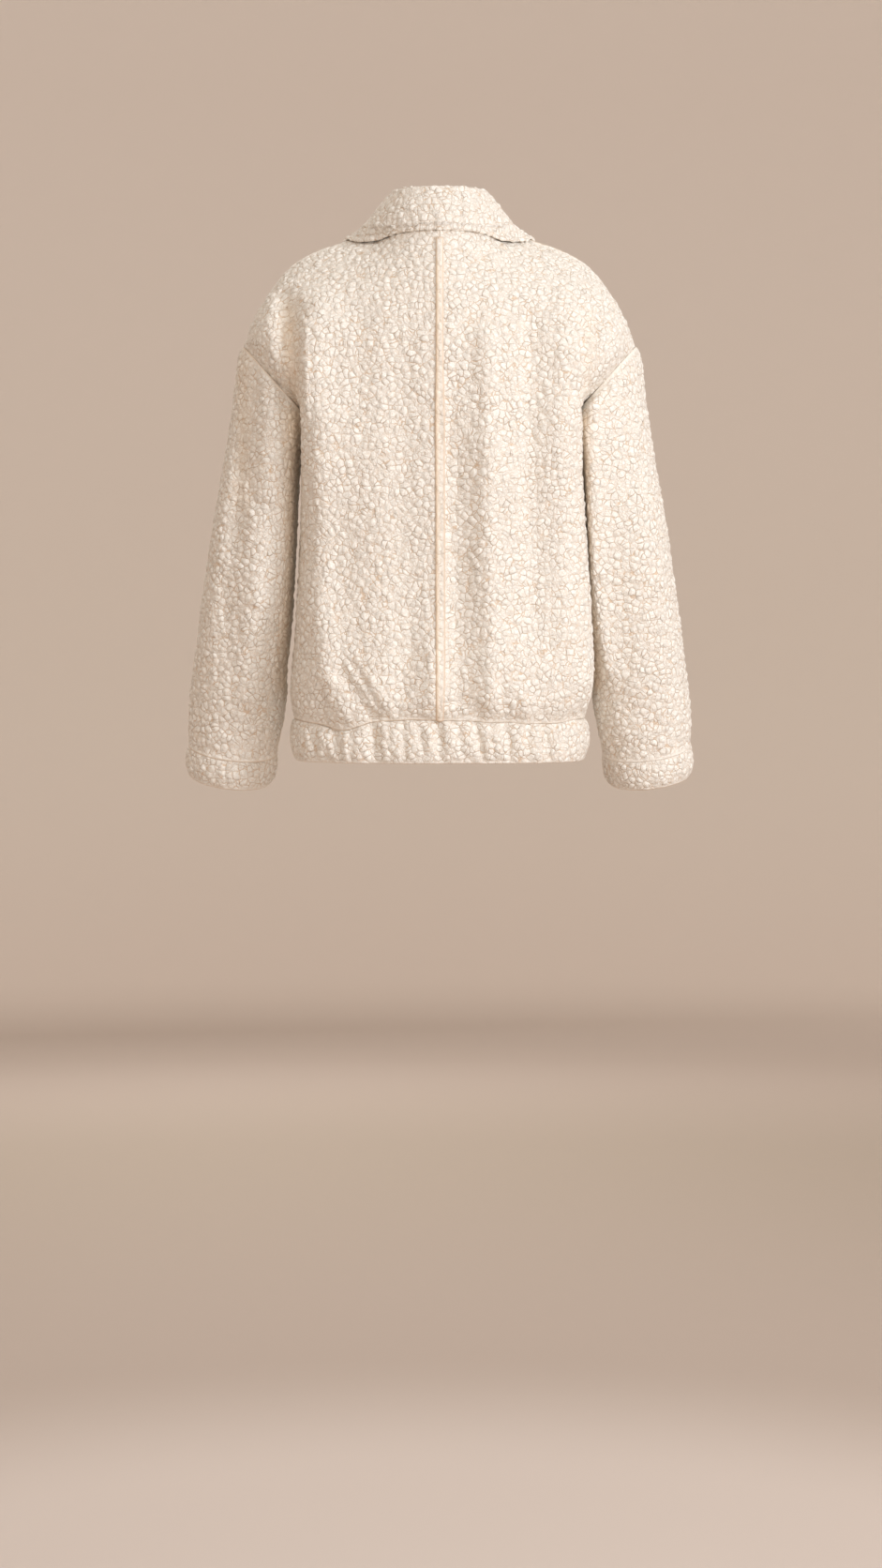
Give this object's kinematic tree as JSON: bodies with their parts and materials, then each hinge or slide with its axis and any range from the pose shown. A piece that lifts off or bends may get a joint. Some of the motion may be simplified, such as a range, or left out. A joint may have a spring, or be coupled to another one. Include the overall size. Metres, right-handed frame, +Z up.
{
  "type": "shirt jacket",
  "caption": "Short shirt jacket in cream boucle fleece, kept in its hollow worn form, with a turned-down collar, long set-in sleeves, cuffs and a gathered hem band.",
  "frame": {"origin": "midway between the wearer's shoulders, at the height where the collar meets the shoulder seams", "axes": "+Z up, -Y the way the wearer faces, +X towards the wearer's left"},
  "size_m": [0.644, 0.2918, 0.7444],
  "materials": {
    "fleece": "matte curly boucle pile",
    "button": "satin horn effect"
  },
  "bodies": {
    "root": {"back_left": "fleece", "back_right": "fleece", "back_seam_strip": "fleece", "front_left": "fleece", "front_right": "fleece", "collar": "fleece", "sleeve_left": "fleece", "sleeve_right": "fleece", "cuff_left": "fleece", "cuff_right": "fleece", "hem_band_back": "fleece", "hem_band_front_left": "fleece", "hem_band_front_right": "fleece", "button_1": "button", "button_2": "button", "button_3": "button", "button_4": "button", "button_5": "button"}
  },
  "joints": []
}
